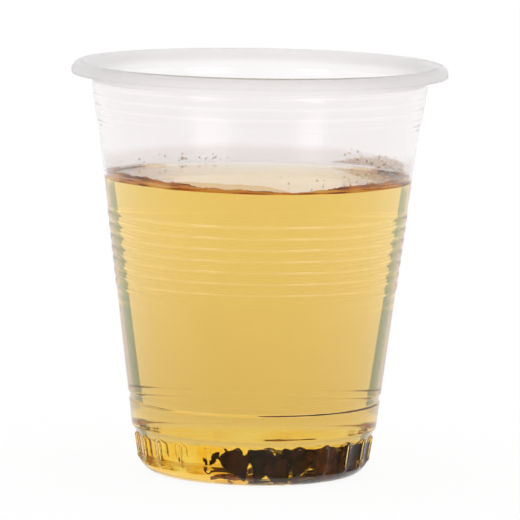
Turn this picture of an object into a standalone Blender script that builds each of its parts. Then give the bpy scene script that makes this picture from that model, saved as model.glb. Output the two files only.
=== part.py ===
"""A clear thermoformed drinking cup with tea and a heap of wet tea leaves on its floor.

Metres, +Z up. The cup stands on z = 0 with its axis on Z. The heap of leaves lies towards +X.
"""

import math
import random

import bmesh
import bpy

# ---- driving dimensions of the cup (outer skin) ----
HEIGHT = 0.0820
LIP_RADIUS = 0.0375
NECK_TOP = (0.0334, 0.0776)      # radius and height where the neck meets the lip
STEP_TOP = (0.03250, 0.0713)     # the small step under the neck band
STEP_BOTTOM = (0.03210, 0.0706)
WALL_BOTTOM = (0.02456, 0.0099)
SHOULDER_RADIUS = 0.0013
FOOT_TOP = (0.0236, 0.0076)
HEEL_TOP = (0.0229, 0.0034)
RING_OUTER = 0.0192              # flat ring that the cup stands on
RING_INNER = 0.0179
RECESS = (0.0168, 0.0014)        # edge and height of the raised underside
WALL = 0.00045
FOOT_WALL = 0.00065
FLOOR = 0.0005

# ---- lip: an inverted J, open underneath ----
LIP_CREST_RADIUS = 0.0360
LIP_WIDEST = 0.0802              # height at which the lip is widest
LIP_EDGE = 0.0797
LIP_SKIN = 0.00055

# ---- shallow rings in the wall ----
RIB_TOP = 0.0520
RIB_PITCH = 0.0022
RIB_COUNT = 7
RIB_HEIGHT = 0.00012
BEAD_HEIGHTS = (0.0163, 0.0145)
BEAD_DEPTH = 0.00015

# ---- foot facets ----
FACETS = 24
FACET_TOP = 0.0078
FACET_BOTTOM = 0.0030
FACET_INSET = 0.00004

TURN_STEPS = 48
GAP = 0.0003

# ---- tea ----
TEA_LEVEL = 0.0596
MENISCUS = 0.0005
POCKET_RADIUS = 0.0214           # open pocket under the tea that holds the leaves
POCKET_TOP = 0.0092
POCKET_EDGE = 0.0034

# ---- leaves ----
LEAF_THICKNESS = 0.00045
HEAP_MIDDLE = 0.0039             # height of the middle of the leaning leaves
HEAP_TOP = 0.0069                # height of the broad leaves on top
WALL_LEAVES = 8
WALL_LEAF_FIRST = -93            # bearing of the first leaf on the wall, degrees from +X
WALL_LEAF_STEP = 22.6
WALL_LEAF_RADIUS = 0.0196
WALL_LEAF_MIDDLE = 0.0056
WALL_LEAF_YAW = 12               # degrees from the wall's tangent
FLOOR_TOP = RECESS[1] + FLOOR
SEED = 7


def wall_radius(z):
    """Outer radius of the straight wall below the step, at height z."""
    share = (z - WALL_BOTTOM[1]) / (STEP_BOTTOM[1] - WALL_BOTTOM[1])
    return WALL_BOTTOM[0] + share * (STEP_BOTTOM[0] - WALL_BOTTOM[0])


def arc(centre, width, height, start, end, steps):
    """Points on an elliptical arc of the section, angles in degrees from +R towards +Z."""
    angles = [math.radians(start + (end - start) * i / steps) for i in range(steps + 1)]
    return [(centre[0] + width * math.cos(a), centre[1] + height * math.sin(a)) for a in angles]


def lip_outside():
    """Crest of the lip, down its outer side, round its edge and back up its hollow underside."""
    width, drop = LIP_RADIUS - LIP_CREST_RADIUS, HEIGHT - LIP_WIDEST
    centre = (LIP_CREST_RADIUS, LIP_WIDEST)
    outer = arc(centre, width, drop, 90, 0, 5)
    edge = [(LIP_RADIUS - 0.0001, LIP_EDGE), (LIP_RADIUS - LIP_SKIN, LIP_EDGE)]
    inner = arc(centre, width - LIP_SKIN, drop - LIP_SKIN, 0, 100, 4)
    under = [(NECK_TOP[0] + 0.0008, 0.0801), (NECK_TOP[0] + 0.0001, 0.0788)]
    return outer + edge + inner + under


def ribs():
    """Crest and valley points of the grip ribs, from the top down."""
    points = []
    for i in range(RIB_COUNT):
        crest = RIB_TOP - i * RIB_PITCH
        valley = crest - RIB_PITCH / 2
        points.append((wall_radius(crest) + RIB_HEIGHT, crest))
        points.append((wall_radius(valley), valley))
    return [(wall_radius(RIB_TOP + RIB_PITCH / 2), RIB_TOP + RIB_PITCH / 2)] + points


def bead():
    """The two fine creases near the bottom of the wall, from the top down."""
    top, bottom = BEAD_HEIGHTS
    return [
        (wall_radius(top), top),
        (wall_radius(top) - BEAD_DEPTH, top - BEAD_DEPTH),
        (wall_radius(bottom) - BEAD_DEPTH, bottom + BEAD_DEPTH),
        (wall_radius(bottom), bottom),
    ]


def shoulder():
    """Rounded stacking shoulder between the wall and the foot."""
    centre = (WALL_BOTTOM[0] - SHOULDER_RADIUS, WALL_BOTTOM[1])
    return arc(centre, SHOULDER_RADIUS, SHOULDER_RADIUS, 0, -50, 3) + [FOOT_TOP]


def heel(radius_out, top, ring, height, steps):
    """Quarter round from the foot down to the standing ring."""
    points = []
    for i in range(1, steps + 1):
        a = math.radians(90 * i / steps)
        r = ring + (radius_out - ring) * math.cos(a)
        points.append((r, top - (top - height) * math.sin(a)))
    return points


def outer_skin():
    """Outside of the cup from the lip's crest down to the middle of the underside."""
    points = lip_outside() + [NECK_TOP, STEP_TOP, STEP_BOTTOM]
    points += ribs() + bead() + shoulder() + [HEEL_TOP]
    points += heel(HEEL_TOP[0], HEEL_TOP[1], RING_OUTER, 0.0, 5)
    return points + [(RING_INNER, 0.0), RECESS, (0.0, RECESS[1])]


def inner_wall():
    """Inside of the cup from the floor's edge up to the top of the neck."""
    points = [(RING_INNER + 0.0001, FLOOR), (RING_OUTER - 0.0001, FLOOR)]
    inside = HEEL_TOP[0] - FOOT_WALL
    points += heel(inside, HEEL_TOP[1], RING_OUTER - 0.0001, FLOOR, 4)[::-1][1:]
    points += [(inside, HEEL_TOP[1]), (FOOT_TOP[0] - FOOT_WALL, FOOT_TOP[1])]
    points += [(WALL_BOTTOM[0] - 0.0008, WALL_BOTTOM[1] - 0.0007), (WALL_BOTTOM[0] - WALL, WALL_BOTTOM[1])]
    points += [(STEP_BOTTOM[0] - WALL, STEP_BOTTOM[1]), (STEP_TOP[0] - WALL, STEP_TOP[1])]
    return points + [(NECK_TOP[0] - WALL, NECK_TOP[1])]


def lip_inside():
    """The flare from the neck up to the crest of the lip."""
    r, z = NECK_TOP[0] - WALL, NECK_TOP[1]
    width, rise = LIP_CREST_RADIUS - r, HEIGHT - z
    angles = [math.radians(18 * i) for i in range(1, 5)]
    return [(r + width * (1 - math.cos(a)), z + rise * math.sin(a)) for a in angles]


def cup_profile():
    """Whole section of the cup: floor, up the inside, over the lip and down the outside."""
    floor = [(0.0, FLOOR_TOP), (RECESS[0] - 0.0002, FLOOR_TOP)]
    return floor + inner_wall() + lip_inside() + outer_skin()


def tea_profile():
    """Section of the tea, from the middle of its surface, down its side and into the pocket."""
    inside = inner_wall()
    side = [(r - GAP, z) for r, z in inside if POCKET_EDGE < z < TEA_LEVEL]
    top = (wall_radius(TEA_LEVEL) - WALL - GAP, TEA_LEVEL + MENISCUS)
    points = [(0.0, TEA_LEVEL), (top[0] - 0.0012, TEA_LEVEL), top] + side[::-1]
    foot = (HEEL_TOP[0] - FOOT_WALL - GAP, POCKET_EDGE)
    points += [foot, (POCKET_RADIUS, POCKET_EDGE), (POCKET_RADIUS, POCKET_TOP)]
    return points + [(0.0, POCKET_TOP)]


def material(name, colour, roughness, transmission=0.0, ior=1.45):
    """A plain Principled material."""
    mat = bpy.data.materials.new(name)
    mat.use_nodes = True
    shader = mat.node_tree.nodes["Principled BSDF"]
    shader.inputs["Base Color"].default_value = (*colour, 1.0)
    shader.inputs["Roughness"].default_value = roughness
    shader.inputs["Metallic"].default_value = 0.0
    shader.inputs["Transmission Weight"].default_value = transmission
    shader.inputs["IOR"].default_value = ior
    return mat


def add_object(name, mesh, collection, mat=None):
    """Link a mesh as a named object with its material."""
    obj = bpy.data.objects.new(name, mesh)
    collection.objects.link(obj)
    if mat is not None:
        mesh.materials.append(mat)
    return obj


def turned(name, profile, collection, mat):
    """A profile of (radius, height) points turned round Z with a Screw modifier."""
    mesh = bpy.data.meshes.new(name)
    edges = [(i, i + 1) for i in range(len(profile) - 1)]
    mesh.from_pydata([(r, 0.0, z) for r, z in profile], edges, [])
    obj = add_object(name, mesh, collection, mat)
    screw = obj.modifiers.new("Turn", "SCREW")
    screw.steps = TURN_STEPS
    screw.render_steps = TURN_STEPS
    screw.use_merge_vertices = True
    screw.merge_threshold = 0.00001
    screw.use_smooth_shade = True
    return obj


def cone_object(name, sides, low, high, collection, turn=0.0):
    """A closed cone frustum between two (radius, height) ends."""
    mesh = bpy.data.meshes.new(name)
    shape = bmesh.new()
    depth = high[1] - low[1]
    bmesh.ops.create_cone(
        shape, cap_ends=True, segments=sides, radius1=low[0], radius2=high[0], depth=depth
    )
    shape.to_mesh(mesh)
    shape.free()
    obj = add_object(name, mesh, collection)
    obj.location = (0.0, 0.0, (low[1] + high[1]) / 2)
    obj.rotation_euler = (0.0, 0.0, turn)
    obj.hide_render = True
    obj.display_type = "WIRE"
    return obj


def facet_cutter(collection):
    """A ring whose hole has one flat side for each facet of the foot."""
    ring = cone_object(
        "facet_ring", TURN_STEPS, (0.030, FACET_BOTTOM), (0.030, FACET_TOP), collection
    )
    slope = (FOOT_TOP[0] - HEEL_TOP[0]) / (FOOT_TOP[1] - HEEL_TOP[1])
    edge = FOOT_TOP[0] - FACET_INSET
    low_z, high_z = FACET_BOTTOM - 0.001, FACET_TOP + 0.001
    low = (edge + slope * (low_z - FOOT_TOP[1]), low_z)
    high = (edge + slope * (high_z - FOOT_TOP[1]), high_z)
    core = cone_object("facet_core", FACETS, low, high, collection, turn=math.pi / FACETS)
    cut = ring.modifiers.new("Hole", "BOOLEAN")
    cut.operation = "DIFFERENCE"
    cut.object = core
    return ring


def cup_shell(collection, cutters):
    """The cup itself, with its faceted foot."""
    mat = material("clear_plastic", (0.93, 0.92, 0.92), 0.08, transmission=1.0, ior=1.49)
    cup = turned("cup_shell", cup_profile(), collection, mat)
    facets = cup.modifiers.new("Facets", "BOOLEAN")
    facets.operation = "DIFFERENCE"
    facets.object = facet_cutter(cutters)
    return cup


def tea(collection):
    """The tea, with an open pocket round the leaves."""
    mat = material("amber_tea", (0.86, 0.66, 0.30), 0.02, transmission=1.0, ior=1.33)
    return turned("tea", tea_profile(), collection, mat)


def leaf_half_width(along):
    """Half width of a leaf as a share of its widest, along from -1 (stalk) to 1 (tip)."""
    return 0.16 + 0.84 * max(0.0, 1 - abs(along) ** 2.2) ** 0.75


def leaf_mesh(name, length, width, curl, arch):
    """A thin leaf bent across its width by curl and along its length by arch."""
    mesh = bpy.data.meshes.new(name)
    shape = bmesh.new()
    bmesh.ops.create_grid(shape, x_segments=7, y_segments=3, size=1.0)
    radius = width / 2 / curl
    for vert in shape.verts:
        along, across = vert.co.x, vert.co.y
        angle = curl * across * leaf_half_width(along)
        vert.co.x = along * length / 2
        vert.co.y = radius * math.sin(angle)
        vert.co.z = radius * (1 - math.cos(angle)) - arch * along * along
    shape.to_mesh(mesh)
    shape.free()
    mesh.shade_smooth()
    return mesh


def add_leaf(name, collection, mat, size, place, turn):
    """One leaf with its thickness; size is length, width, curl and arch."""
    obj = add_object(name, leaf_mesh(name, *size), collection, mat)
    obj.location = place
    obj.rotation_euler = turn
    skin = obj.modifiers.new("Thickness", "SOLIDIFY")
    skin.thickness = LEAF_THICKNESS
    skin.offset = 0.0
    return obj


def fan_leaves(prefix, count, radius, first, last, length, width, collection, mat, rng):
    """Leaves leaning on one another like fallen tiles, their length along the cup's radius."""
    for i in range(count):
        bearing = math.radians(first + (last - first) * i / (count - 1))
        lean = math.radians(48 + rng.uniform(-5, 5))
        size = (
            length * rng.uniform(0.88, 1.06),
            width * rng.uniform(0.85, 1.10),
            rng.uniform(0.5, 0.9),
            rng.uniform(0.0, 0.0004),
        )
        place = (radius * math.cos(bearing), radius * math.sin(bearing), HEAP_MIDDLE)
        heading = bearing + math.radians(rng.uniform(-6, 6))
        add_leaf(f"{prefix}_{i + 1:02d}", collection, mat, size, place, (lean, 0.0, heading))


def wall_leaves(collection, mat, rng):
    """Leaves standing against the foot's wall, lower towards the back, each end tucked behind."""
    for i in range(WALL_LEAVES):
        bearing = math.radians(WALL_LEAF_FIRST + WALL_LEAF_STEP * i)
        size = (
            0.0096 * rng.uniform(0.92, 1.08),
            (0.0058 - 0.0003 * i) * rng.uniform(0.94, 1.04),
            rng.uniform(0.35, 0.55),
            0.0006,
        )
        height = WALL_LEAF_MIDDLE - 0.00014 * i + rng.uniform(-0.0001, 0.0002)
        place = (
            WALL_LEAF_RADIUS * math.cos(bearing), WALL_LEAF_RADIUS * math.sin(bearing), height
        )
        lean = math.radians(86 + rng.uniform(-4, 4))
        roll = math.radians(rng.uniform(-7, 7))
        heading = bearing + math.radians(90 + WALL_LEAF_YAW)
        add_leaf(f"tea_leaf_wall_{i + 1:02d}", collection, mat, size, place, (lean, roll, heading))


def top_leaves(collection, mat):
    """Broad leaves lying flat on the heap: bearing, radius, heading, length and width."""
    rows = [
        (-72, 0.0116, -58, 0.0112, 0.0056),
        (-25, 0.0120, -37, 0.0108, 0.0060),
        (21, 0.0118, 33, 0.0114, 0.0054),
        (68, 0.0114, 54, 0.0106, 0.0058),
        (0, 0.0016, 95, 0.0100, 0.0052),
    ]
    for i, (bearing, radius, heading, length, width) in enumerate(rows):
        a = math.radians(bearing)
        place = (radius * math.cos(a), radius * math.sin(a), HEAP_TOP)
        size = (length, width, 0.45, 0.0005)
        turn = (0.0, 0.0, math.radians(heading))
        add_leaf(f"tea_leaf_top_{i + 1:02d}", collection, mat, size, place, turn)


def loose_leaves(collection, mat):
    """Three leaves lying in the ring channel and a small one alone on the wall."""
    rows = [
        (-101, 0.0191, 0.0019, 0, 0, 0.0085, 0.0024),
        (-56, 0.0191, 0.0019, 0, 0, 0.0080, 0.0024),
        (-14, 0.0190, 0.0019, 0, 0, 0.0086, 0.0026),
        (-112, 0.0204, 0.0054, 84, -50, 0.0032, 0.0015),
    ]
    for i, (bearing, radius, height, lean, roll, length, width) in enumerate(rows):
        a = math.radians(bearing)
        place = (radius * math.cos(a), radius * math.sin(a), height)
        turn = (math.radians(lean), math.radians(roll), a + math.radians(90))
        size = (length, width, 0.3, 0.0001)
        add_leaf(f"tea_leaf_loose_{i + 1:02d}", collection, mat, size, place, turn)


def stalk(name, start, bend, end, radius, collection, mat):
    """A stalk as a bent round wire with closed ends."""
    curve = bpy.data.curves.new(name, "CURVE")
    curve.dimensions = "3D"
    curve.bevel_depth = radius
    curve.bevel_resolution = 1
    curve.use_fill_caps = True
    line = curve.splines.new("POLY")
    line.points.add(2)
    for point, place in zip(line.points, (start, bend, end)):
        point.co = (*place, 1.0)
    obj = bpy.data.objects.new(name, curve)
    curve.materials.append(mat)
    collection.objects.link(obj)
    return obj


def stalks(collection, mat):
    """Two stalks at the edge of the heap and one standing up against it."""
    z = 0.0029
    stalk("tea_stalk_01", (-0.0084, -0.0148, z), (-0.0050, -0.0164, z), (-0.0014, -0.0170, z),
          0.00040, collection, mat)
    stalk("tea_stalk_02", (0.0020, 0.0100, z), (-0.0010, 0.0128, z), (-0.0020, 0.0160, z),
          0.00045, collection, mat)
    stalk("tea_stalk_03", (-0.0034, -0.0050, z), (-0.0036, -0.0046, 0.0056),
          (-0.0044, -0.0052, 0.0078), 0.00040, collection, mat)


def clear_scene():
    """Remove every object in the file."""
    for obj in list(bpy.data.objects):
        bpy.data.objects.remove(obj, do_unlink=True)


def main():
    """Build the cup, the tea, the leaves and the stalks."""
    clear_scene()
    parts = bpy.data.collections.new("cup_of_tea")
    cutters = bpy.data.collections.new("cutters")
    for collection in (parts, cutters):
        bpy.context.scene.collection.children.link(collection)
    cup_shell(parts, cutters)
    tea(parts)
    leaf = material("wet_leaf", (0.055, 0.028, 0.018), 0.3)
    wood = material("wet_stalk", (0.16, 0.08, 0.04), 0.4)
    rng = random.Random(SEED)
    wall_leaves(parts, leaf, rng)
    fan_leaves("tea_leaf_outer", 7, 0.0136, -88, 66, 0.0084, 0.0048, parts, leaf, rng)
    fan_leaves("tea_leaf_inner", 4, 0.0057, -75, 55, 0.0058, 0.0040, parts, leaf, rng)
    top_leaves(parts, leaf)
    loose_leaves(parts, leaf)
    stalks(parts, wood)


main()
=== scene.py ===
"""Looks of a clear disposable cup of tea: milky clear plastic, amber tea, wet leaves."""

import math
import random

import bmesh
import bpy
import numpy as np
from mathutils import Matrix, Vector, noise


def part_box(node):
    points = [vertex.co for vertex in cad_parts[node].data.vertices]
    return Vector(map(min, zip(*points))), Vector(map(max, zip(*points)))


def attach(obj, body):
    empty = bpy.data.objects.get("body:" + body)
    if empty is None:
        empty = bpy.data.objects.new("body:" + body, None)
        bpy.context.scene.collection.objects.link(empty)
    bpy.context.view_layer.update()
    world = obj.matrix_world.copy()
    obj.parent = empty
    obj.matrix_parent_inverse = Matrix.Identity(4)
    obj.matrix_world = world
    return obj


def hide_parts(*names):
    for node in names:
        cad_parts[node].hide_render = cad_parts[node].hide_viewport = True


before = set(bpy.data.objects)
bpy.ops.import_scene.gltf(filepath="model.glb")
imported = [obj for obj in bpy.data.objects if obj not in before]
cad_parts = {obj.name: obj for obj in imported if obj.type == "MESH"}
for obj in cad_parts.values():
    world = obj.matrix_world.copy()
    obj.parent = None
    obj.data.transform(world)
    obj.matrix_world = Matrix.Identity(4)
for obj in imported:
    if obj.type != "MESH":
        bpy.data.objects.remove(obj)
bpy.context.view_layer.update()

MM = 0.001
CUP_LOW, CUP_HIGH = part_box("cup_shell")
HEIGHT = CUP_HIGH.z
LIP_RADIUS = (CUP_HIGH.x - CUP_LOW.x) / 2

# ---- section of the cup's outer skin, as (radius, height) ----
NECK_TOP = (LIP_RADIUS - 4.1 * MM, HEIGHT - 4.4 * MM)
STEP_TOP = (LIP_RADIUS - 5.0 * MM, HEIGHT - 10.4 * MM)
STEP_BOTTOM = (LIP_RADIUS - 5.4 * MM, HEIGHT - 11.7 * MM)
WALL_BOTTOM = (24.56 * MM, 9.9 * MM)
SHOULDER_RADIUS = 1.3 * MM
LEDGE = ((23.88 * MM, 8.45 * MM), (23.68 * MM, 8.1 * MM))    # from the shoulder to the foot
FOOT_TOP = (23.6 * MM, 7.6 * MM)
HEEL_TOP = (22.9 * MM, 3.4 * MM)
RING_OUTER = 19.2 * MM                 # the flat ring that the cup stands on
RING_INNER = 17.9 * MM
RING_ROUND = 0.25 * MM
RECESS = (16.8 * MM, 1.4 * MM)         # edge and height of the raised underside

# ---- thickness, and the skin's inside ----
WALL = 0.45 * MM
FOOT_WALL = 0.65 * MM
FLOOR = 0.5 * MM
FLOOR_TOP = RECESS[1] + FLOOR
INNER_LEDGE = (23.2 * MM, 8.3 * MM)
INNER_SHOULDER = 0.9 * MM
FLOOR_EDGE = (                         # inside, from the floor out to the heel
    (RECESS[0] - 0.3 * MM, FLOOR_TOP), (RING_INNER - 0.2 * MM, FLOOR + 0.5 * MM),
    (RING_INNER + 0.2 * MM, FLOOR), (RING_OUTER - 0.1 * MM, FLOOR),
)
RECESS_RISE = ((0.25 * MM, -0.4 * MM), (-0.1 * MM, 0.0))     # outside, from the recess's edge

# ---- lip: an inverted J, open underneath ----
LIP_CREST_RADIUS = LIP_RADIUS - 1.5 * MM
LIP_WIDEST = HEIGHT - 1.8 * MM
LIP_EDGE = HEIGHT - 2.3 * MM
LIP_EDGE_ROUND = 0.15 * MM
LIP_SKIN = 0.55 * MM
# Under the lip: distance out from the neck, and height.
LIP_THROAT = ((0.8 * MM, 80.1 * MM), (0.35 * MM, 79.4 * MM), (0.12 * MM, 78.5 * MM))
LIP_BAND = 78.6 * MM                   # the milkier plastic begins here
FLARE_STEPS = 10

# ---- moulded rings and facets ----
GRIP_RIBS = (36.9 * MM, 7, 2.25 * MM, 0.15 * MM)     # lowest point, count, pitch, height
NECK_RIBS = (69.6 * MM, 4, 2.1 * MM, 0.12 * MM)
BEADS = (16.4 * MM, 14.4 * MM)
BEAD_RAMP = 0.50 * MM
BEAD_DEPTH = 0.26 * MM
TOE_RIDGE = (3.3 * MM, 0.13 * MM, 0.28 * MM)         # height, depth and half width
FACETS = 24
FACET_HALF = math.pi / FACETS
FACET_COLUMNS = (-7.5, -6.9, -6.2, -4.2, 0.0, 4.2, 6.2, 6.9)   # degrees from a facet's middle
FACET_START = (2.0 * MM, 1.4 * MM)     # lowest point on the heel, and height over which it grows
FACET_END = 0.4 * MM                   # height over which it fades at the foot's top
FACET_INNERMOST = 21 * MM
RIDGE = 0.42 * MM
RIDGE_HALF = math.radians(1.7)
DISH = 0.08 * MM                       # hollow in the middle of each facet

# ---- mesh: bearings of the columns, and spacing of the rings ----
COLUMNS = [
    math.radians(360 * k / FACETS + offset) for k in range(FACETS) for offset in FACET_COLUMNS
]
PLAIN_STEP = 1.0 * MM
LOW_WALL_STEP = 0.8 * MM
FOOT_STEP = 0.25 * MM
BEAD_STEP = 0.13 * MM
GRIP_STEP = 0.225 * MM
NECK_STEP = 0.21 * MM
STEP_GAP = 0.1 * MM                    # between one run of rings and the next
BEAD_GAP = 0.3 * MM

# ---- plastic ----
PLASTIC_IOR = 1.49
PLASTIC_DULL = (0.972, 0.947, 0.948)
PLASTIC_BRIGHT = (0.984, 0.961, 0.962)
LIP_LIFT = 0.016                       # the lip's plastic is this much lighter
STAIN_DEEP = (1.0, 0.80, 0.28)         # the foot's
STAIN_PALE = (1.0, 0.97, 0.72)
STAIN_FADE = 1.2 * MM
CLEAR, LIP, WET = range(3)             # order of the cup's materials

# ---- tea ----
TEA_IOR = 1.333
TEA_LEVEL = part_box("tea")[1].z - 0.9 * MM
SEAT = 0.12 * MM                       # the tea's skin sits this far inside the plastic
MENISCUS = 0.06 * MM
MENISCUS_REACH = 0.8 * MM
MENISCUS_LEAN = 0.12
RIM_GAP = 0.2 * MM                     # the tea's side stops this far under its surface
SURFACE_RINGS = 24
SURFACE_BAND = 9 * MM                  # width of the finely divided edge of the surface
TEA_DENSITY = 32.0
TEA_PASSES = (0.949, 0.773, 0.0)
TEA_HIGH_TINTS = ((0.985, 0.98, 0.97), (1.0, 1.0, 1.0))
TEA_LOW_TINT = (0.835, 0.75, 0.557)
TEA_FOOT_TINT = (1.0, 0.98, 0.90)
TINT_LOW = 5 * MM                      # the tea is tinted most at this height
TINT_START = (FOOT_TOP[1] - 0.5 * MM, WALL_BOTTOM[1] + 0.5 * MM)
SURFACE_SKIN = (TEA_LEVEL - 0.15 * MM, TEA_LEVEL - 0.05 * MM)
NO_BEND = 1.0001                       # as good as no change of refractive index

# ---- leaves ----
WALL_PUSH = 1.2 * MM                   # leaves on the wall cling to it
WALL_TURN = 0.24                       # radians
WALL_DROOP = 1.6                       # how far their lower edges reach down
WALL_RISE = 0.82                       # how far their upper edges reach up
WALL_SINK = 0.20                       # and how much less the far ones do
WALL_SINK_REACH = 12 * MM
WALL_SCALE = (1.24, 1.2)               # width and height against the CAD leaf
OTHER_SCALE = (1.06, 1.12)
TOP_SINK = 0.5 * MM
TOP_RELIEF = 0.35                      # the broad leaves on top lie flatter
LEAF_CLEAR = 0.5 * MM
LEAF_LOWEST = 1.0 * MM
LEAF_SKIN = 0.22 * MM
LEAF_GRID = (44, 16)
LEAF_OUTLINE = (1.9, 0.7)              # taper and fullness of the plain outline
LEAF_LOBES = (0.95, 0.55)              # mean width, and how much the lobes vary it
LEAF_LOBE_WAVES = (1.7, 3.1, 1.3)
LEAF_WIDEST, LEAF_NARROWEST = 1.08, 0.03
LEAF_TEETH = (0.07, 9)                 # depth and number
BITE_PLACE = 0.6                       # farthest bite from the leaf's middle
BITE_REACH = (0.08, 0.2)
BITE_DEPTH = (0.35, 0.85)
CRUMPLES = ((0.30 * MM, 2.1, 1.6, 0.37), (0.10 * MM, 7.0, 5.0, 0.91))     # height and waves
FOLD_HEIGHTS = (0.35, 0.6)             # most, in mm, at the midrib and across one end
FOLD_SLANT, FOLD_START = 0.6, 0.35
MIDRIB = (0.12 * MM, 0.07)             # height and half width
VEINS = (0.07 * MM, 5, 2.2)            # depth, number and slant
LEAF_IOR = 1.14
LEAF_KINDS = (                         # name, dark and light colour
    ("wet_leaf_dark", (0.010, 0.002, 0.001), (0.060, 0.012, 0.008)),
    ("wet_leaf_brown", (0.025, 0.006, 0.003), (0.140, 0.034, 0.012)),
    ("wet_leaf_amber", (0.080, 0.018, 0.005), (0.480, 0.140, 0.022)),
)
LEAF_ORDER = (0, 1, 0, 0, 2, 1, 0)
STALK_WOOD = ("wet_stalk_wood", (0.05, 0.018, 0.008), (0.20, 0.08, 0.03))
STALK_WIDTHS = (0.55, 1.0, 0.75, 1.1, 0.6)
LYING = 2.9                            # height in mm of the two stalks that lie in the heap
STALKS = (                             # name, radius, route in mm
    ("tea_stalk_01", 0.45 * MM, (
        (-8.4, -14.8, LYING), (-6.8, -15.8, LYING), (-5.0, -16.4, LYING),
        (-3.2, -16.9, LYING), (-1.4, -17.0, LYING),
    )),
    ("tea_stalk_02", 0.5 * MM, (
        (2.0, 10.0, LYING), (0.4, 11.3, LYING), (-1.0, 12.8, LYING),
        (-1.6, 14.4, LYING), (-2.0, 16.0, LYING),
    )),
    ("tea_stalk_03", 0.45 * MM, (
        (-3.4, -5.0, LYING), (-3.6, -4.6, 4.3), (-3.6, -4.6, 5.6),
        (-4.0, -4.9, 6.7), (-4.4, -5.2, 7.8),
    )),
)

# ---- films on the wall: bearing from the front in degrees, lower and upper edge in mm ----
FILM = (
    (-112, 59.1, 59.25), (-90, 58.7, 60.5), (-78, 59.1, 61.0), (-52, 59.1, 60.95),
    (-41, 59.1, 60.7), (-31, 59.0, 60.3), (-14, 58.95, 59.75), (2, 58.87, 59.55),
    (14, 58.87, 59.2), (22, 58.9, 59.55), (31, 58.87, 60.0), (41, 58.87, 60.25),
    (52, 58.95, 60.45), (75, 58.9, 60.3), (90, 58.6, 60.0), (118, 59.1, 59.25),
)
PALE_FILM = ((-34, 59.1, 60.4), (-24, 59.1, 60.9), (2, 59.1, 60.6), (12, 59.1, 59.4))
GOLD_SMEAR = (
    (100, 59.7, 60.3), (112, 59.7, 61.9), (124, 59.7, 62.2), (138, 59.7, 60.9), (150, 59.7, 60.0),
)
WET_VEIL = ((-268, 59.0, 61.6), (-236, 59.0, 61.9), (-200, 59.0, 63.2), (-92, 59.0, 63.4))
FILM_GAP = 0.03 * MM                   # films and foam lie this far off the plastic
BROWN_GAP = 0.12 * MM                  # and the brown film this far, clear of the thin ones
FILM_TURNS = 2                         # sections to a degree
FILM_FATTEST = 0.35                    # thickness against height
FILM_EDGE = ((1.0, 0.21, 3.3), (0.6, 0.9, 7))        # size, pace and start of the ragged edge
FILM_TALL = 1.2                        # a film this tall, in mm, is fully ragged
FILM_STREAK = 15                       # how much wider than tall its streaks are
FILM_COLOURS = (                       # place in the noise, colour
    (0.34, (0.260, 0.050, 0.010)), (0.5, (0.95, 0.42, 0.045)), (0.66, (1.0, 0.70, 0.200)),
)
FILM_LIGHTER = 1.06                    # the paler patches of the thin films

# ---- foam ----
# First and last bearing from the front, height over which it spreads in mm, and count.
FOAM_PATCHES = ((-168, -112, 1.4, 26), (104, 146, 2.4, 60), (4, 48, 1.8, 16))
FOAM_BASE = 59.7                       # mm
FOAM_SPREAD = 0.5
FOAM_SMALL = (0.07, 0.20)              # radius of most bubbles, in mm
FOAM_LARGE = (0.20, 0.34)
FOAM_SMALL_SHARE = 0.8
FOAM_BROWN_SHARE = 0.45
FOAM_DENT = (0.12, 6000)               # depth against radius, and fineness
FOAM_SEED = 5
FOAM_KINDS = (                         # name, whether brown, dark and light colour
    ("pale_foam", False, (0.80, 0.74, 0.66), (0.97, 0.95, 0.92)),
    ("brown_foam", True, (0.45, 0.22, 0.10), (0.95, 0.66, 0.30)),
)

# ---- studio ----
TABLE_SIZE = 6
TABLE_PLACE = (0, 1.5, -0.00005)
FLOOR_SHADE = 0.08                     # share of the floor's white that a shadow can take
SOFTBOXES = (                          # name, bearing from behind, size
    ("softbox_left", 180 + 40, (0.50, 0.27)),
    ("softbox_right", 180 - 38, (0.72, 0.27)),
)
SOFTBOX_PLACE = (0.9, 0.11)            # distance and height
SOFTBOX_GLOW = 3.4
SOFTBOX_SOFT = 0.35
CARDS = (                              # name, bearing, distance, width, facing, colour
    ("green_card", 22.7, 0.0580, 0.0092, 54, (0.28, 0.46, 0.62)),
    ("lilac_card", 28.8, 0.0490, 0.0110, 69, (0.66, 0.64, 1.00)),
)
CARD_MIDDLE = 0.0361
CARD_TALL = 0.0502
CARD_SOFT = 0.05
ANY_SURFACES = -1
TEA_SURFACES = 5.5                     # light through the tea has passed more surfaces than this
FLAG_SHADE = 0.06
FLAG_FULL = 50                         # degrees from the front where it starts to fade
FLAG_END = 140                         # and where it ends
FLAG_RADII = (0.0235, 0.45)
FLAG_HEIGHT = 0.0003
FLAG_STEPS = 60

# ---- camera ----
LENS, SENSOR = 384, 36
CAMERA_PLACE = (0, -1.1, 0.1741)
CAMERA_TARGET = (0.00064, 0, 0.0425)
CAMERA_TILT = math.radians(0.98)


def line(z, low, high):
    """Radius at height z on the straight line between two (radius, height) points."""
    return low[0] + (high[0] - low[0]) * (z - low[1]) / (high[1] - low[1])


def smooth(x):
    """Smooth step from 0 to 1."""
    x = min(1.0, max(0.0, x))
    return x * x * (3 - 2 * x)


def ribs(z, zone):
    """Height of a zone of ribs above the plain wall: round crests with sharp valleys."""
    bottom, count, pitch, height = zone
    share = (z - bottom) / pitch
    if not 0 < share < count:
        return 0.0
    return height * abs(math.sin(math.pi * share))


def bead(z):
    """Depth of the shallow groove near the bottom of the wall."""
    top, bottom = BEADS
    inside = smooth((top - z) / BEAD_RAMP) * smooth((z - bottom) / BEAD_RAMP)
    return BEAD_DEPTH * inside


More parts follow.
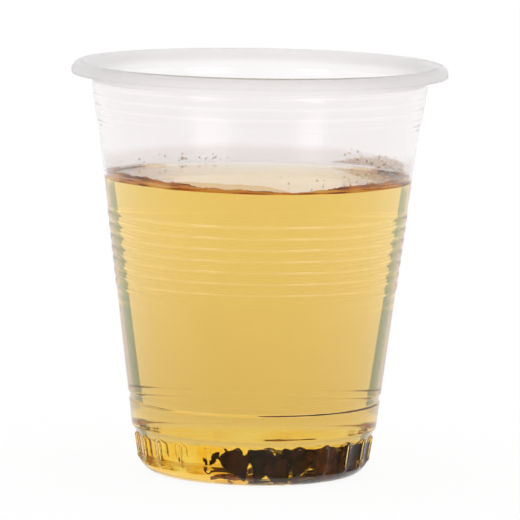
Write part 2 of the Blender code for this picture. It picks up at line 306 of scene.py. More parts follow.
def wall_radius(z):
    """Outer radius of the cup at height z, from the shoulder up to the lip."""
    if z < STEP_BOTTOM[1]:
        base = line(z, WALL_BOTTOM, STEP_BOTTOM)
    elif z < STEP_TOP[1]:
        share = smooth((z - STEP_BOTTOM[1]) / (STEP_TOP[1] - STEP_BOTTOM[1]))
        base = STEP_BOTTOM[0] + share * (STEP_TOP[0] - STEP_BOTTOM[0])
    else:
        base = line(z, STEP_TOP, NECK_TOP)
    return base + ribs(z, GRIP_RIBS) + ribs(z, NECK_RIBS) - bead(z)


def spread(low, high, step):
    """Evenly spaced heights from low to high, about step apart."""
    count = max(2, round((high - low) / step) + 1)
    return [float(z) for z in np.linspace(low, high, count)]


def arc(centre, width, height, start, end, steps):
    """Points on an elliptical arc, angles in degrees from +R towards +Z."""
    angles = [math.radians(start + (end - start) * i / steps) for i in range(steps + 1)]
    return [(centre[0] + width * math.cos(a), centre[1] + height * math.sin(a)) for a in angles]


def lip_outside():
    """Crest of the lip, down its outer side, round its edge and back up its underside."""
    width, drop = LIP_RADIUS - LIP_CREST_RADIUS, HEIGHT - LIP_WIDEST
    centre = (LIP_CREST_RADIUS, LIP_WIDEST)
    outer = arc(centre, width, drop, 90, 0, steps=14)
    edge_centre = (LIP_RADIUS - LIP_SKIN / 2, LIP_EDGE + LIP_EDGE_ROUND)
    edge = arc(edge_centre, LIP_SKIN / 2, LIP_EDGE_ROUND, -10, -170, steps=6)
    inner = arc(centre, width - LIP_SKIN, drop - LIP_SKIN, 0, 100, steps=12)
    return outer + edge + inner + [(NECK_TOP[0] + out, z) for out, z in LIP_THROAT]


def shoulder():
    """Sharply rounded stacking shoulder and the ledge below it."""
    centre = (WALL_BOTTOM[0] - SHOULDER_RADIUS, WALL_BOTTOM[1])
    return arc(centre, SHOULDER_RADIUS, SHOULDER_RADIUS, 0, -50, steps=8) + list(LEDGE)


def wall_heights():
    """Heights of the rings of the wall, from the bottom up, close together where it has detail."""
    grip = (GRIP_RIBS[0], GRIP_RIBS[0] + GRIP_RIBS[1] * GRIP_RIBS[2])
    marks = [
        (WALL_BOTTOM[1] + STEP_GAP, BEADS[1] - BEAD_GAP, LOW_WALL_STEP),
        (BEADS[1] - STEP_GAP, BEADS[0] + STEP_GAP, BEAD_STEP),
        (BEADS[0] + BEAD_GAP, grip[0] - STEP_GAP, PLAIN_STEP),
        (grip[0], grip[1], GRIP_STEP),
        (grip[1] + STEP_GAP, NECK_RIBS[0] - STEP_GAP, PLAIN_STEP),
        (NECK_RIBS[0], NECK_TOP[1], NECK_STEP),
    ]
    return [z for low, high, step in marks for z in spread(low, high, step)]


def foot_heights():
    """Heights of the rings that make the faceted foot, from the top down."""
    return spread(HEEL_TOP[1], FOOT_TOP[1], FOOT_STEP)[::-1]


def heel(radius, floor, steps):
    """Quarter round from the foot down to the standing ring."""
    points = []
    for i in range(1, steps + 1):
        a = math.radians(90 * i / steps)
        r = RING_OUTER + (radius - RING_OUTER) * math.cos(a)
        points.append((r, HEEL_TOP[1] - (HEEL_TOP[1] - floor) * math.sin(a)))
    return points


def toe_ridge(z):
    """A fine round ridge between the foot and the heel."""
    middle, depth, reach = TOE_RIDGE
    return depth * math.exp(-((z - middle) / reach) ** 2)


def outer_section():
    """Outside of the cup from the lip's crest down to the middle of the underside."""
    wall = [(wall_radius(z), z) for z in wall_heights()[::-1]]
    foot = [(line(z, HEEL_TOP, FOOT_TOP), z) for z in foot_heights()]
    foot = [(r + toe_ridge(z), z) for r, z in foot + heel(HEEL_TOP[0], 0.0, steps=16)]
    ring = arc((RING_INNER, RING_ROUND), RING_ROUND, RING_ROUND, -60, -160, steps=4)
    rise = [(RECESS[0] + out, RECESS[1] + up) for out, up in RECESS_RISE]
    return lip_outside() + wall + shoulder() + foot + ring + rise


def inner_section():
    """Inside of the cup from the floor's edge up to the top of the neck."""
    lower = heel(HEEL_TOP[0] - FOOT_WALL, FLOOR, steps=10)[::-1][1:]
    foot = [(line(z, HEEL_TOP, FOOT_TOP) - FOOT_WALL, z) for z in foot_heights()[::-1]]
    centre = (WALL_BOTTOM[0] - WALL - INNER_SHOULDER, WALL_BOTTOM[1])
    bend = [INNER_LEDGE] + arc(centre, INNER_SHOULDER, INNER_SHOULDER, -50, 0, steps=6)
    wall = [(wall_radius(z) - WALL, z) for z in wall_heights()]
    return list(FLOOR_EDGE) + lower + foot + bend + wall


def lip_inside():
    """The flare from the neck up to the crest of the lip."""
    r, z = NECK_TOP[0] - WALL, NECK_TOP[1]
    width, rise = LIP_CREST_RADIUS - r, HEIGHT - z
    angles = [math.radians(90 * i / FLARE_STEPS) for i in range(1, FLARE_STEPS)]
    return [(r + width * (1 - math.cos(a)), z + rise * math.sin(a)) for a in angles]


def facet_share(z):
    """How strongly the facets show at height z: full on the foot, fading down the heel."""
    start, growth = FACET_START
    return smooth((z - start) / growth) * smooth((FOOT_TOP[1] + FACET_END - z) / FACET_END)


def facet_offset(r, z, angle):
    """Change of radius at one point of the foot: a flat panel with a fine ridge at each edge."""
    share = facet_share(z)
    if share == 0.0 or r < FACET_INNERMOST:
        return 0.0
    within = (angle + FACET_HALF) % (2 * FACET_HALF) - FACET_HALF
    flat = r * (math.cos(FACET_HALF) / math.cos(within) - 1)
    from_edge = (FACET_HALF - abs(within)) / RIDGE_HALF
    dish = DISH * (1 - (within / FACET_HALF) ** 2) ** 2
    return share * (flat - dish + RIDGE * math.exp(-from_edge * from_edge))


def add_object(shape, name, rounded=True):
    """A new object in the scene from a finished bmesh."""
    mesh = bpy.data.meshes.new(name)
    shape.to_mesh(mesh)
    shape.free()
    if rounded:
        mesh.shade_smooth()
    obj = bpy.data.objects.new(name, mesh)
    bpy.context.scene.collection.objects.link(obj)
    return obj


def lathe(name, section, low_pole, high_pole):
    """A closed turned mesh with a faceted foot, from one pole along the section to the other."""
    shape = bmesh.new()
    rings, turns = [], len(COLUMNS)
    for r, z in section:
        ring = []
        for a in COLUMNS:
            radius = r + facet_offset(r, z, a)
            ring.append(shape.verts.new((radius * math.cos(a), radius * math.sin(a), z)))
        rings.append(ring)
    for upper, lower in zip(rings, rings[1:]):
        for j in range(turns):
            k = (j + 1) % turns
            shape.faces.new((upper[j], lower[j], lower[k], upper[k]))
    for pole_z, ring in ((low_pole, rings[0]), (high_pole, rings[-1])):
        pole = shape.verts.new((0, 0, pole_z))
        for j in range(turns):
            shape.faces.new((pole, ring[j], ring[(j + 1) % turns]))
    bmesh.ops.recalc_face_normals(shape, faces=shape.faces)
    return add_object(shape, name)


def node(tree, kind, **values):
    """A shader node with its inputs and properties set by name."""
    made = tree.nodes.new(kind)
    for key, value in values.items():
        if key in made.inputs:
            made.inputs[key].default_value = value
        else:
            setattr(made, key, value)
    return made


def new_material(name):
    """A new node material, its tree, its Principled shader and its output."""
    mat = bpy.data.materials.new(name)
    mat.use_nodes = True
    tree = mat.node_tree
    return mat, tree, tree.nodes["Principled BSDF"], tree.nodes["Material Output"]


def set_inputs(shader, **values):
    """Set a node's inputs by name, with _ for a space."""
    for key, value in values.items():
        shader.inputs[key.replace("_", " ")].default_value = value


def map_range(tree, source, low, high, **values):
    """A value mapped from the range low to high, to 0 to 1 unless told otherwise."""
    ramp = node(tree, "ShaderNodeMapRange", **values)
    set_inputs(ramp, From_Min=low, From_Max=high)
    tree.links.new(source, ramp.inputs["Value"])
    return ramp


def object_place(tree):
    """Place in the object's own coordinates, in metres."""
    return node(tree, "ShaderNodeTexCoord").outputs["Object"]


def object_axes(tree):
    """The three parts of the place in the object's own coordinates."""
    split = node(tree, "ShaderNodeSeparateXYZ")
    tree.links.new(object_place(tree), split.inputs["Vector"])
    return split.outputs


def mottle(tree, dark, light, scale, detail):
    """A noise that runs between two colours, and its raw value."""
    grain = node(tree, "ShaderNodeTexNoise", Scale=scale, Detail=detail)
    ramp = node(tree, "ShaderNodeValToRGB")
    for stop, colour, place in zip(ramp.color_ramp.elements, (dark, light), (0.35, 0.65)):
        stop.color = (*colour, 1)
        stop.position = place
    tree.links.new(object_place(tree), grain.inputs["Vector"])
    tree.links.new(grain.outputs["Fac"], ramp.inputs["Fac"])
    return ramp.outputs["Color"], grain.outputs["Fac"]


def height_ramp(tree, low, high):
    """0 at one height and 1 at another, smooth between."""
    height = object_axes(tree)["Z"]
    return map_range(tree, height, low, high, interpolation_type="SMOOTHSTEP").outputs["Result"]


def mixed(tree, share, one, two):
    """Colour one where share is 0 and colour two where it is 1."""
    mix = node(tree, "ShaderNodeMix", data_type="RGBA")
    for socket, value in ((mix.inputs[6], one), (mix.inputs[7], two)):
        if isinstance(value, tuple):
            socket.default_value = (*value, 1)
        else:
            tree.links.new(value, socket)
    tree.links.new(share, mix.inputs[0])
    return mix.outputs[2]


def plastic_material(name, roughness, clear, ior=PLASTIC_IOR, lift=0.0):
    """Thin milky clear plastic with faint uneven haze, stained amber down in the foot."""
    mat, tree, shader, _ = new_material(name)
    dull, bright = (tuple(c + lift for c in colour) for colour in (PLASTIC_DULL, PLASTIC_BRIGHT))
    plain, haze = mottle(tree, dull, bright, scale=90, detail=2)
    stained, _ = mottle(tree, STAIN_DEEP, STAIN_PALE, scale=160, detail=2)
    wall = height_ramp(tree, FOOT_TOP[1], FOOT_TOP[1] + STAIN_FADE)
    tree.links.new(mixed(tree, wall, stained, plain), shader.inputs["Base Color"])
    rough = map_range(tree, haze, 0, 1)
    set_inputs(rough, To_Min=roughness[0], To_Max=roughness[1])
    tree.links.new(rough.outputs["Result"], shader.inputs["Roughness"])
    set_inputs(shader, IOR=ior, Transmission_Weight=clear)
    return mat


def tea_material():
    """Amber tea whose colour comes from its depth."""
    mat, tree, shader, out = new_material("amber_tea_liquid")
    high, _ = mottle(tree, *TEA_HIGH_TINTS, scale=40, detail=1)
    rising = mixed(tree, height_ramp(tree, TINT_LOW, TEA_LEVEL), TEA_LOW_TINT, high)
    body = height_ramp(tree, *TINT_START)
    tree.links.new(mixed(tree, body, TEA_FOOT_TINT, rising), shader.inputs["Base Color"])
    bend = map_range(tree, height_ramp(tree, *SURFACE_SKIN), 0, 1)
    # Only the surface bends light here: at the sides the wet side of the plastic does it.
    set_inputs(bend, To_Min=NO_BEND, To_Max=TEA_IOR)
    tree.links.new(bend.outputs["Result"], shader.inputs["IOR"])
    set_inputs(shader, Roughness=0.0, Transmission_Weight=1.0)
    depth = node(tree, "ShaderNodeVolumeAbsorption", Density=TEA_DENSITY)
    set_inputs(depth, Color=(*TEA_PASSES, 1))
    tree.links.new(depth.outputs["Volume"], out.inputs["Volume"])
    return mat


def leaf_material(name, dark, light):
    """Wet leaf or stalk, mottled and finely bumpy."""
    mat, tree, shader, _ = new_material(name)
    colour, grain = mottle(tree, dark, light, scale=420, detail=5)
    tree.links.new(colour, shader.inputs["Base Color"])
    set_inputs(shader, Roughness=0.26, IOR=LEAF_IOR)
    bump = node(tree, "ShaderNodeBump", Strength=0.4, Distance=0.0002)
    tree.links.new(grain, bump.inputs["Height"])
    tree.links.new(bump.outputs["Normal"], shader.inputs["Normal"])
    return mat


def make_cup():
    """The cup's fine visual mesh in place of its CAD solid."""
    section = inner_section() + lip_inside() + outer_section()
    cup = lathe("clear_cup", section, FLOOR_TOP, RECESS[1])
    for mat in (
        plastic_material("milky_clear_plastic", (0.02, 0.07), 0.990),
        plastic_material("milky_lip_plastic", (0.29, 0.33), 0.98, lift=LIP_LIFT),
        plastic_material("milky_wet_plastic", (0.02, 0.07), 0.995, PLASTIC_IOR / TEA_IOR),
    ):
        cup.data.materials.append(mat)
    turns, caps = len(COLUMNS), (len(section) - 1) * len(COLUMNS)
    inside = len(inner_section()) * turns
    for face in cup.data.polygons:
        indoors = face.index < inside or caps <= face.index < caps + turns
        if indoors and face.center.z < TEA_LEVEL:
            face.material_index = WET
        else:
            face.material_index = LIP if face.center.z > LIP_BAND else CLEAR
    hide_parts("cup_shell")
    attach(cup, "root")


def tea_section():
    """The tea from the edge of its surface down its side to the floor's edge."""
    side = [(r + SEAT, z) for r, z in inner_section() if z < TEA_LEVEL - RIM_GAP][::-1]
    edge_radius = wall_radius(TEA_LEVEL) - WALL + SEAT
    surface = []
    for i in range(SURFACE_RINGS):
        inward = SURFACE_BAND * (1 - i / (SURFACE_RINGS - 1)) ** 2
        rise = MENISCUS * math.exp(-inward / MENISCUS_REACH)
        surface.append((edge_radius + MENISCUS_LEAN * rise - inward, TEA_LEVEL + rise))
    on_floor = len(FLOOR_EDGE)
    floor = [(r, z - SEAT) for r, z in side[-on_floor:]]
    return surface + side[:-on_floor] + floor


def make_tea():
    """The tea, filling the cup to its level."""
    liquid = lathe("amber_tea_body", tea_section(), TEA_LEVEL, FLOOR_TOP - SEAT)
    liquid.data.materials.append(tea_material())
    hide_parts("tea")
    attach(liquid, "root")


def leaf_frame(name):
    """Centre, axes, middle, half sizes and bend of a CAD leaf, from its own vertices."""
    points = np.array([v.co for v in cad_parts[name].data.vertices])
    centre = points.mean(0)
    _, _, axes = np.linalg.svd(points - centre, full_matrices=False)
    local = (points - centre) @ axes.T
    middle = (local.max(0) + local.min(0)) / 2
    half = (local.max(0) - local.min(0)) / 2
    u, v = (local[:, 0] - middle[0]) / half[0], (local[:, 1] - middle[1]) / half[1]
    terms = np.stack([np.ones_like(u), u, v, u * u, v * v, u * v], 1)
    bend, *_ = np.linalg.lstsq(terms, local[:, 2], rcond=None)
    return centre, axes, middle, half, bend


def leaf_edge(u, side, seed, bites):
    """Half width of a torn, finely toothed leaf on one side of its midrib, at u along it."""
    taper, fullness = LEAF_OUTLINE
    body = max(0.0, 1 - abs(u) ** taper) ** fullness
    waves = [value * pace for value, pace in zip((u, side, seed), LEAF_LOBE_WAVES)]
    lobes = LEAF_LOBES[0] + LEAF_LOBES[1] * noise.noise(Vector(waves))
    tooth, count = LEAF_TEETH
    teeth = tooth * (1 - abs((u * count + seed) % 1.0 * 2 - 1))
    torn = 1.0
    for place, edge, reach, depth in bites:
        if edge == side:
            torn -= depth * math.exp(-((u - place) / reach) ** 4)
    return max(LEAF_NARROWEST, body * min(LEAF_WIDEST, lobes) * torn - teeth)


def leaf_relief(u, t, seed, folds):
    """Height of a leaf's own folds, crumples, midrib and veins."""
    crumple = sum(
        height * noise.noise(Vector((u * along, t * across, seed * start)))
        for height, along, across, start in CRUMPLES
    )
    fold = folds[0] * abs(t) + folds[1] * max(0.0, t * FOLD_SLANT + u - FOLD_START)
    height, half_width = MIDRIB
    midrib = height * math.exp(-(t / half_width) ** 2)
    depth, count, slant = VEINS
    vein = depth * abs(math.sin((u * count + abs(t) * slant) * math.pi)) ** 6
    return crumple + fold + midrib - vein


def foot_inside(z):
    """Largest radius a leaf can reach inside the foot at height z."""
    inside = HEEL_TOP[0] - FOOT_WALL
    if z > HEEL_TOP[1]:
        return line(z, HEEL_TOP, FOOT_TOP) - FOOT_WALL - LEAF_CLEAR
    drop = min(1.0, (HEEL_TOP[1] - z) / (HEEL_TOP[1] - FLOOR))
    return RING_OUTER + (inside - RING_OUTER) * math.sqrt(1 - drop * drop) - LEAF_CLEAR


def settle(spot, centre):
    """A point of a leaf on the wall, let down into the heel and kept inside the plastic."""
    up = spot.z - centre[2]
    if up < 0:
        spot.z = max(LEAF_LOWEST, centre[2] + up * WALL_DROOP)
    else:
        spot.z = centre[2] + up * (WALL_RISE - WALL_SINK * smooth(centre[1] / WALL_SINK_REACH))
    reach = math.hypot(spot.x, spot.y)
    limit = foot_inside(spot.z)
    if reach > limit:
        spot.x *= limit / reach
        spot.y *= limit / reach
    return spot


def make_leaf(name, mat):
    """A veined, crumpled leaf in place of a CAD leaf."""
    centre, axes, middle, half, bend = leaf_frame(name)
    seed = sum(ord(c) * (i + 1) for i, c in enumerate(name)) % 97
    pick = random.Random(seed)
    folds = [pick.uniform(-most, most) * MM for most in FOLD_HEIGHTS]
    bites = [
        (pick.uniform(-BITE_PLACE, BITE_PLACE), side, pick.uniform(*BITE_REACH),
         pick.uniform(*BITE_DEPTH))
        for side in (-1, 1)
    ]
    relief, push, turn = 1.0, Vector((0, 0, 0)), 0.0
    wide, tall = OTHER_SCALE
    if "top" in name:
        relief, push = TOP_RELIEF, Vector((0, 0, -TOP_SINK))
    if "wall" in name:
        wide, tall = WALL_SCALE
        turn = pick.uniform(-WALL_TURN, WALL_TURN)
        push = Vector((centre[0], centre[1], 0)).normalized() * WALL_PUSH
    shape = bmesh.new()
    bmesh.ops.create_grid(shape, x_segments=LEAF_GRID[0], y_segments=LEAF_GRID[1], size=1.0)
    for vert in shape.verts:
        u, t = vert.co.x, vert.co.y
        v = t * leaf_edge(u, 1 if t > 0 else -1, seed, bites)
        height = float(bend @ np.array([1, u, v, u * u, v * v, u * v]))
        along, across = u * half[0] * wide, v * half[1] * tall
        flat = np.array([
            middle[0] + along * math.cos(turn) - across * math.sin(turn),
            middle[1] + along * math.sin(turn) + across * math.cos(turn),
            height + relief * leaf_relief(u, t, seed, folds),
        ])
        vert.co = Vector(centre + flat @ axes) + push
        if "wall" in name:
            vert.co = settle(vert.co, centre)
    leaf = add_object(shape, "wet_" + name)
    skin = leaf.modifiers.new("Thickness", "SOLIDIFY")
    skin.thickness = LEAF_SKIN
    skin.offset = 0.0
    leaf.data.materials.append(mat)
    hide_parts(name)
    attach(leaf, "root")


def make_stalk(name, radius, route, mat):
    """A knobbly, tapering wet stalk."""
    curve = bpy.data.curves.new("wet_" + name, "CURVE")
    curve.dimensions = "3D"
    curve.bevel_depth = radius
    curve.bevel_resolution = 4
    curve.resolution_u = 10
    curve.use_fill_caps = True
    spline = curve.splines.new("NURBS")
    spline.points.add(len(route) - 1)
    spline.order_u = 3
    spline.use_endpoint_u = True
    for point, place, width in zip(spline.points, route, STALK_WIDTHS):
        point.co = (*[c * MM for c in place], 1.0)
        point.radius = width
    stem = bpy.data.objects.new("wet_" + name, curve)
    bpy.context.scene.collection.objects.link(stem)
    curve.materials.append(mat)
    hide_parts(name)
    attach(stem, "root")


def make_leaves():
    """All the leaves and stalks."""
    kinds = [leaf_material(*kind) for kind in LEAF_KINDS]
    names = [name for name in sorted(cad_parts) if name.startswith("tea_leaf")]
    for i, name in enumerate(names):
        make_leaf(name, kinds[LEAF_ORDER[i % len(LEAF_ORDER)]])
    wood = leaf_material(*STALK_WOOD)
    for name, radius, route in STALKS:
        make_stalk(name, radius, route, wood)


def strip_height(table, ragged, bearing):
    """Lower and upper height of a film on the wall, at a bearing from the front."""
    spots = [row[0] for row in table]
    low = float(np.interp(bearing, spots, [row[1] for row in table]))
    high = float(np.interp(bearing, spots, [row[2] for row in table]))
    edge = sum(
        size * noise.noise(Vector((bearing * pace, start, 0))) for size, pace, start in FILM_EDGE
    )
    share = min(1.0, (high - low) / FILM_TALL)
    return low * MM, (high + ragged * share * edge) * MM


def strip_loop(low, high, depth, bearing, gap):
    """Section of a film at one bearing: thicker at its foot, thin at its top edge."""
    a = math.radians(bearing - 90)
    tall = high - low
    depth = min(depth, FILM_FATTEST * tall)
    spine = [(0, low), (0, high), (0.35, high + 0.03 * MM), (0.8, high - 0.1 * tall)]
    spine += [(1.0, low + 0.5 * tall), (0.7, low)]
    loop = []
    for share, z in spine:
        r = wall_radius(z) - WALL - gap - share * depth
        loop.append((r * math.cos(a), r * math.sin(a), z))
    return loop


def make_strip(name, table, mat, ragged, depth, gap=FILM_GAP):
    """A film of tea clinging to the wall, closed at both ends."""
    shape = bmesh.new()
    first, last = table[0][0], table[-1][0]
    count = int(FILM_TURNS * (last - first))
    loops = []
    for i in range(count + 1):
        bearing = first + (last - first) * i / count
        low, high = strip_height(table, ragged, bearing)
        loops.append([shape.verts.new(p) for p in strip_loop(low, high, depth, bearing, gap)])
    size = len(loops[0])
    for one, two in zip(loops, loops[1:]):
        for j in range(size):
            k = (j + 1) % size
            shape.faces.new((one[j], one[k], two[k], two[j]))
    shape.faces.new(loops[0])
    shape.faces.new(loops[-1])
    bmesh.ops.recalc_face_normals(shape, faces=shape.faces)
    film = add_object(shape, name)
    film.data.materials.append(mat)
    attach(film, "root")


def make_films():
    """Brown film at the waterline, a pale one in front, a gold smear and a wet veil behind."""
    brown = film_material()
    make_strip("brown_tea_film", FILM, brown, ragged=0.42, depth=0.30 * MM, gap=BROWN_GAP)
    pale = tinted_material(
        "pale_tea_film", (0.88, 0.76, 0.56), clear_at=61.4 * MM, full_at=60.8 * MM
    )
    make_strip("pale_tea_film", PALE_FILM, pale, ragged=0.12, depth=0.06 * MM)
    gold = veil_material(
        "gold_smear", (0.72, 0.46, 0.20), strength=0.34, clear_at=62.6 * MM, full_at=60.6 * MM
    )
    make_strip("gold_smear", GOLD_SMEAR, gold, ragged=1.1, depth=0.05 * MM)
    veil = veil_material(
        "wet_veil", (0.93, 0.84, 0.76), strength=0.16, clear_at=63.4 * MM, full_at=61.4 * MM
    )
    make_strip("wet_veil", WET_VEIL, veil, ragged=0.30, depth=0.05 * MM)


def film_shade(tree, colour):
    """A thin film's colour with paler patches."""
    paler = tuple(min(1.0, c * FILM_LIGHTER) for c in colour)
    return mottle(tree, colour, paler, scale=130, detail=3)[0]


def tinted_material(name, colour, clear_at, full_at):
    """A thin see-through film, tinted at its foot and clear at its upper edge."""
    mat, tree, shader, _ = new_material(name)
    shade = film_shade(tree, colour)
    clear = mixed(tree, height_ramp(tree, clear_at, full_at), (1.0, 1.0, 1.0), shade)
    tree.links.new(clear, shader.inputs["Base Color"])
    set_inputs(shader, Transmission_Weight=1.0, Roughness=0.05, IOR=1.02)
    return mat


def veil_material(name, colour, strength, clear_at, full_at):
    """A faint haze, which fades out towards its upper edge."""
    mat, tree, shader, _ = new_material(name)
    tree.links.new(film_shade(tree, colour), shader.inputs["Base Color"])
    fade = node(tree, "ShaderNodeMath", operation="MULTIPLY")
    fade.inputs[1].default_value = strength
    tree.links.new(height_ramp(tree, clear_at, full_at), fade.inputs[0])
    tree.links.new(fade.outputs["Value"], shader.inputs["Alpha"])
    set_inputs(shader, Roughness=0.3, Specular_IOR_Level=0.1)
    return mat


def film_material():
    """Brown to orange in uneven layers."""
    mat, tree, shader, _ = new_material("brown_film_layers")
    stretch = node(tree, "ShaderNodeMapping", Scale=(1, 1, FILM_STREAK))
    streaks = node(tree, "ShaderNodeTexNoise", Scale=150.0, Detail=4)
    ramp = node(tree, "ShaderNodeValToRGB")
    stops = ramp.color_ramp.elements
    stops.new(0.5)
    for stop, (place, colour) in zip(stops, FILM_COLOURS):
        stop.position = place
        stop.color = (*colour, 1)
    tree.links.new(object_place(tree), stretch.inputs["Vector"])
    tree.links.new(stretch.outputs["Vector"], streaks.inputs["Vector"])
    tree.links.new(streaks.outputs["Fac"], ramp.inputs["Fac"])
    tree.links.new(ramp.outputs["Color"], shader.inputs["Base Color"])
    set_inputs(shader, Roughness=0.30, Transmission_Weight=0.72, IOR=1.08)
    return mat


def bubble_rows(pick):
    """Bearing from the front, height and radius of each bubble, and whether it is brown."""
    rows = []
    for low, high, rise, count in FOAM_PATCHES:
        for _ in range(count):
            up = abs(pick.gauss(0, FOAM_SPREAD)) * rise
            sizes = FOAM_SMALL if pick.random() < FOAM_SMALL_SHARE else FOAM_LARGE
            size = pick.uniform(*sizes)
            bearing = pick.uniform(low, high)
            rows.append((bearing, FOAM_BASE + up, size, pick.random() < FOAM_BROWN_SHARE))
    return rows


def make_bubbles():
    """Fine foam and specks clinging to the wall above the tea."""
    deep, fine = FOAM_DENT
    for name, brown, dark, light in FOAM_KINDS:
        shape = bmesh.new()
        for bearing, z, size, is_brown in bubble_rows(random.Random(FOAM_SEED)):
            if is_brown != brown:
                continue
            a = math.radians(bearing - 90)
            r = wall_radius(z * MM) - WALL - FILM_GAP - size * MM
            made = bmesh.ops.create_icosphere(shape, subdivisions=2, radius=size * MM)["verts"]
            for vert in made:
                dent = 1 + deep * noise.noise(vert.co * fine + Vector((bearing, z, 0)))
                vert.co = vert.co * dent + Vector((r * math.cos(a), r * math.sin(a), z * MM))
        foam = add_object(shape, name)
        foam.data.materials.append(foam_material(name, dark, light))
        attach(foam, "root")


def foam_material(name, dark, light):
    """Small wet bubbles."""
    mat, tree, shader, _ = new_material(name)
    colour, _ = mottle(tree, dark, light, scale=900, detail=3)
    tree.links.new(colour, shader.inputs["Base Color"])
    set_inputs(shader, Roughness=0.2, IOR=1.33)
    return mat


def grey(value):
    """A grey with full alpha."""
    return (value, value, value, 1)


def make_floor():
    """A plain white table that glows softly like a light table."""
    bpy.ops.mesh.primitive_plane_add(size=TABLE_SIZE, location=TABLE_PLACE)
    floor = bpy.context.object
    floor.name = "studio_floor"
    mat, _, shader, _ = new_material("studio_white")
    set_inputs(shader, Base_Color=grey(FLOOR_SHADE), Roughness=1.0, Specular_IOR_Level=0.0)
    set_inputs(shader, Emission_Color=grey(1), Emission_Strength=1.0 - FLOOR_SHADE)
    floor.data.materials.append(mat)


def make_world():
    """Even white studio surroundings."""
    world = bpy.data.worlds.new("studio")
    world.use_nodes = True
    set_inputs(world.node_tree.nodes["Background"], Color=grey(1), Strength=1.0)
    bpy.context.scene.world = world


def polar(bearing, distance, z):
    """A place at a bearing in degrees from +Y towards +X."""
    a = math.radians(bearing)
    return Vector((distance * math.sin(a), distance * math.cos(a), z))


def aim(obj, target):
    """Turn an object so that its -Z looks at target."""
    obj.rotation_euler = (Vector(target) - obj.location).to_track_quat("-Z", "Y").to_euler()


def glow_card(name, place, size, facing, colour, strength, soft, depth):
    """A glowing card, soft at its edges, seen past more than depth clear surfaces."""
    bpy.ops.mesh.primitive_plane_add(size=1, location=place)
    card = bpy.context.object
    card.name = name
    card.scale = (*size, 1)
    aim(card, card.location - polar(facing, 1, 0))
    mat = bpy.data.materials.new(name)
    mat.use_nodes = True
    tree = mat.node_tree
    tree.nodes.clear()
    out = node(tree, "ShaderNodeOutputMaterial")
    glow = node(tree, "ShaderNodeEmission", Strength=strength, Color=(*colour, 1))
    clear = node(tree, "ShaderNodeBsdfTransparent")
    mix = node(tree, "ShaderNodeMixShader")
    path = node(tree, "ShaderNodeLightPath")
    deep = node(tree, "ShaderNodeMath", operation="GREATER_THAN")
    deep.inputs[1].default_value = depth
    shown = node(tree, "ShaderNodeMath", operation="MULTIPLY")
    tree.links.new(path.outputs["Transmission Depth"], deep.inputs[0])
    tree.links.new(edge_fade(tree, soft), shown.inputs[0])
    tree.links.new(deep.outputs["Value"], shown.inputs[1])
    tree.links.new(shown.outputs["Value"], mix.inputs["Fac"])
    tree.links.new(clear.outputs["BSDF"], mix.inputs[1])
    tree.links.new(glow.outputs["Emission"], mix.inputs[2])
    tree.links.new(mix.outputs["Shader"], out.inputs["Surface"])
    card.data.materials.append(mat)
    card.visible_camera = False
    card.visible_diffuse = False
    card.visible_shadow = False


def edge_fade(tree, soft):
    """1 in a card's middle, falling to 0 at its edges over the given share of its width."""
    axes = object_axes(tree)
    both = node(tree, "ShaderNodeMath", operation="MULTIPLY")
    for i, axis in enumerate(("X", "Y")):
        size = node(tree, "ShaderNodeMath", operation="ABSOLUTE")
        tree.links.new(axes[axis], size.inputs[0])
        ramp = map_range(
            tree, size.outputs["Value"], 0.5, 0.5 - soft, interpolation_type="SMOOTHSTEP"
        )
        tree.links.new(ramp.outputs["Result"], both.inputs[i])
    return both.outputs["Value"]


def make_studio():
    """Floor, surroundings, two softboxes in front, tinted cards behind, and a dark flag."""
    make_floor()
    make_world()
    distance, z = SOFTBOX_PLACE
    for name, bearing, size in SOFTBOXES:
        place = polar(bearing, distance, z)
        glow_card(
            name, place, size, bearing, (1.0, 1.0, 1.0), SOFTBOX_GLOW, SOFTBOX_SOFT, ANY_SURFACES
        )
    for side in (-1, 1):
        for name, bearing, distance, width, facing, colour in CARDS:
            place = polar(side * bearing, distance, CARD_MIDDLE)
            glow_card(
                name, place, (width, CARD_TALL), side * facing, colour, 1.0, CARD_SOFT,
                TEA_SURFACES,
            )
    front_flag()


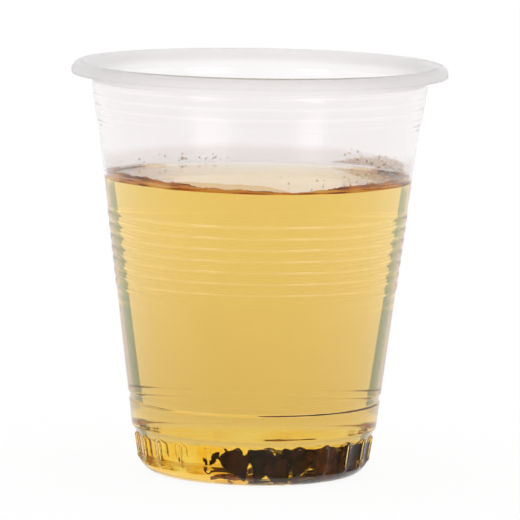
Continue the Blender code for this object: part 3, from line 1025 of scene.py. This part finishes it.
def front_flag():
    """A dark card on the table in front of the cup, seen only in the cup's reflections."""
    shape = bmesh.new()
    rows = []
    for i in range(FLAG_STEPS + 1):
        bearing = 180 - FLAG_END + 2 * FLAG_END * i / FLAG_STEPS
        rows.append([shape.verts.new(polar(bearing, r, FLAG_HEIGHT)) for r in FLAG_RADII])
    for one, two in zip(rows, rows[1:]):
        shape.faces.new((one[0], one[1], two[1], two[0]))
    flag = add_object(shape, "front_flag", rounded=False)
    flag.data.materials.append(flag_material())
    flag.visible_camera = False
    flag.visible_diffuse = False
    flag.visible_transmission = False
    flag.visible_shadow = False


def flag_material():
    """Matt dark, fading out round the sides of the cup."""
    mat, tree, shader, _ = new_material("dark_flag")
    set_inputs(shader, Base_Color=grey(FLAG_SHADE), Roughness=1.0, Specular_IOR_Level=0.0)
    # The gradient wraps round at the back, so the front is at one half.
    ahead = node(tree, "ShaderNodeMapping", Rotation=(0, 0, math.pi / 2))
    turn = node(tree, "ShaderNodeTexGradient", gradient_type="RADIAL")
    from_front = node(tree, "ShaderNodeMath", operation="SUBTRACT")
    from_front.inputs[1].default_value = 0.5
    size = node(tree, "ShaderNodeMath", operation="ABSOLUTE")
    tree.links.new(object_place(tree), ahead.inputs["Vector"])
    tree.links.new(ahead.outputs["Vector"], turn.inputs["Vector"])
    tree.links.new(turn.outputs["Fac"], from_front.inputs[0])
    tree.links.new(from_front.outputs["Value"], size.inputs[0])
    fade = map_range(
        tree, size.outputs["Value"], FLAG_END / 360, FLAG_FULL / 360,
        interpolation_type="SMOOTHSTEP",
    )
    tree.links.new(fade.outputs["Result"], shader.inputs["Alpha"])
    return mat


def make_camera():
    """A long lens a little above the cup, tilted by a degree."""
    data = bpy.data.cameras.new("camera")
    data.lens = LENS
    data.sensor_width = SENSOR
    camera = bpy.data.objects.new("camera", data)
    bpy.context.scene.collection.objects.link(camera)
    camera.location = CAMERA_PLACE
    aim(camera, CAMERA_TARGET)
    camera.rotation_euler.rotate_axis("Z", CAMERA_TILT)
    bpy.context.scene.camera = camera


def set_colour():
    """Plain display colours, and enough bounces for light inside the foot."""
    scene = bpy.context.scene
    scene.cycles.max_bounces = 32
    scene.cycles.glossy_bounces = 16
    scene.cycles.transmission_bounces = 32
    scene.view_settings.view_transform = "Standard"
    scene.view_settings.look = "None"
    scene.view_settings.exposure = 0.0
    scene.view_settings.gamma = 1.0


make_cup()
make_tea()
make_leaves()
make_films()
make_bubbles()
make_studio()
make_camera()
set_colour()
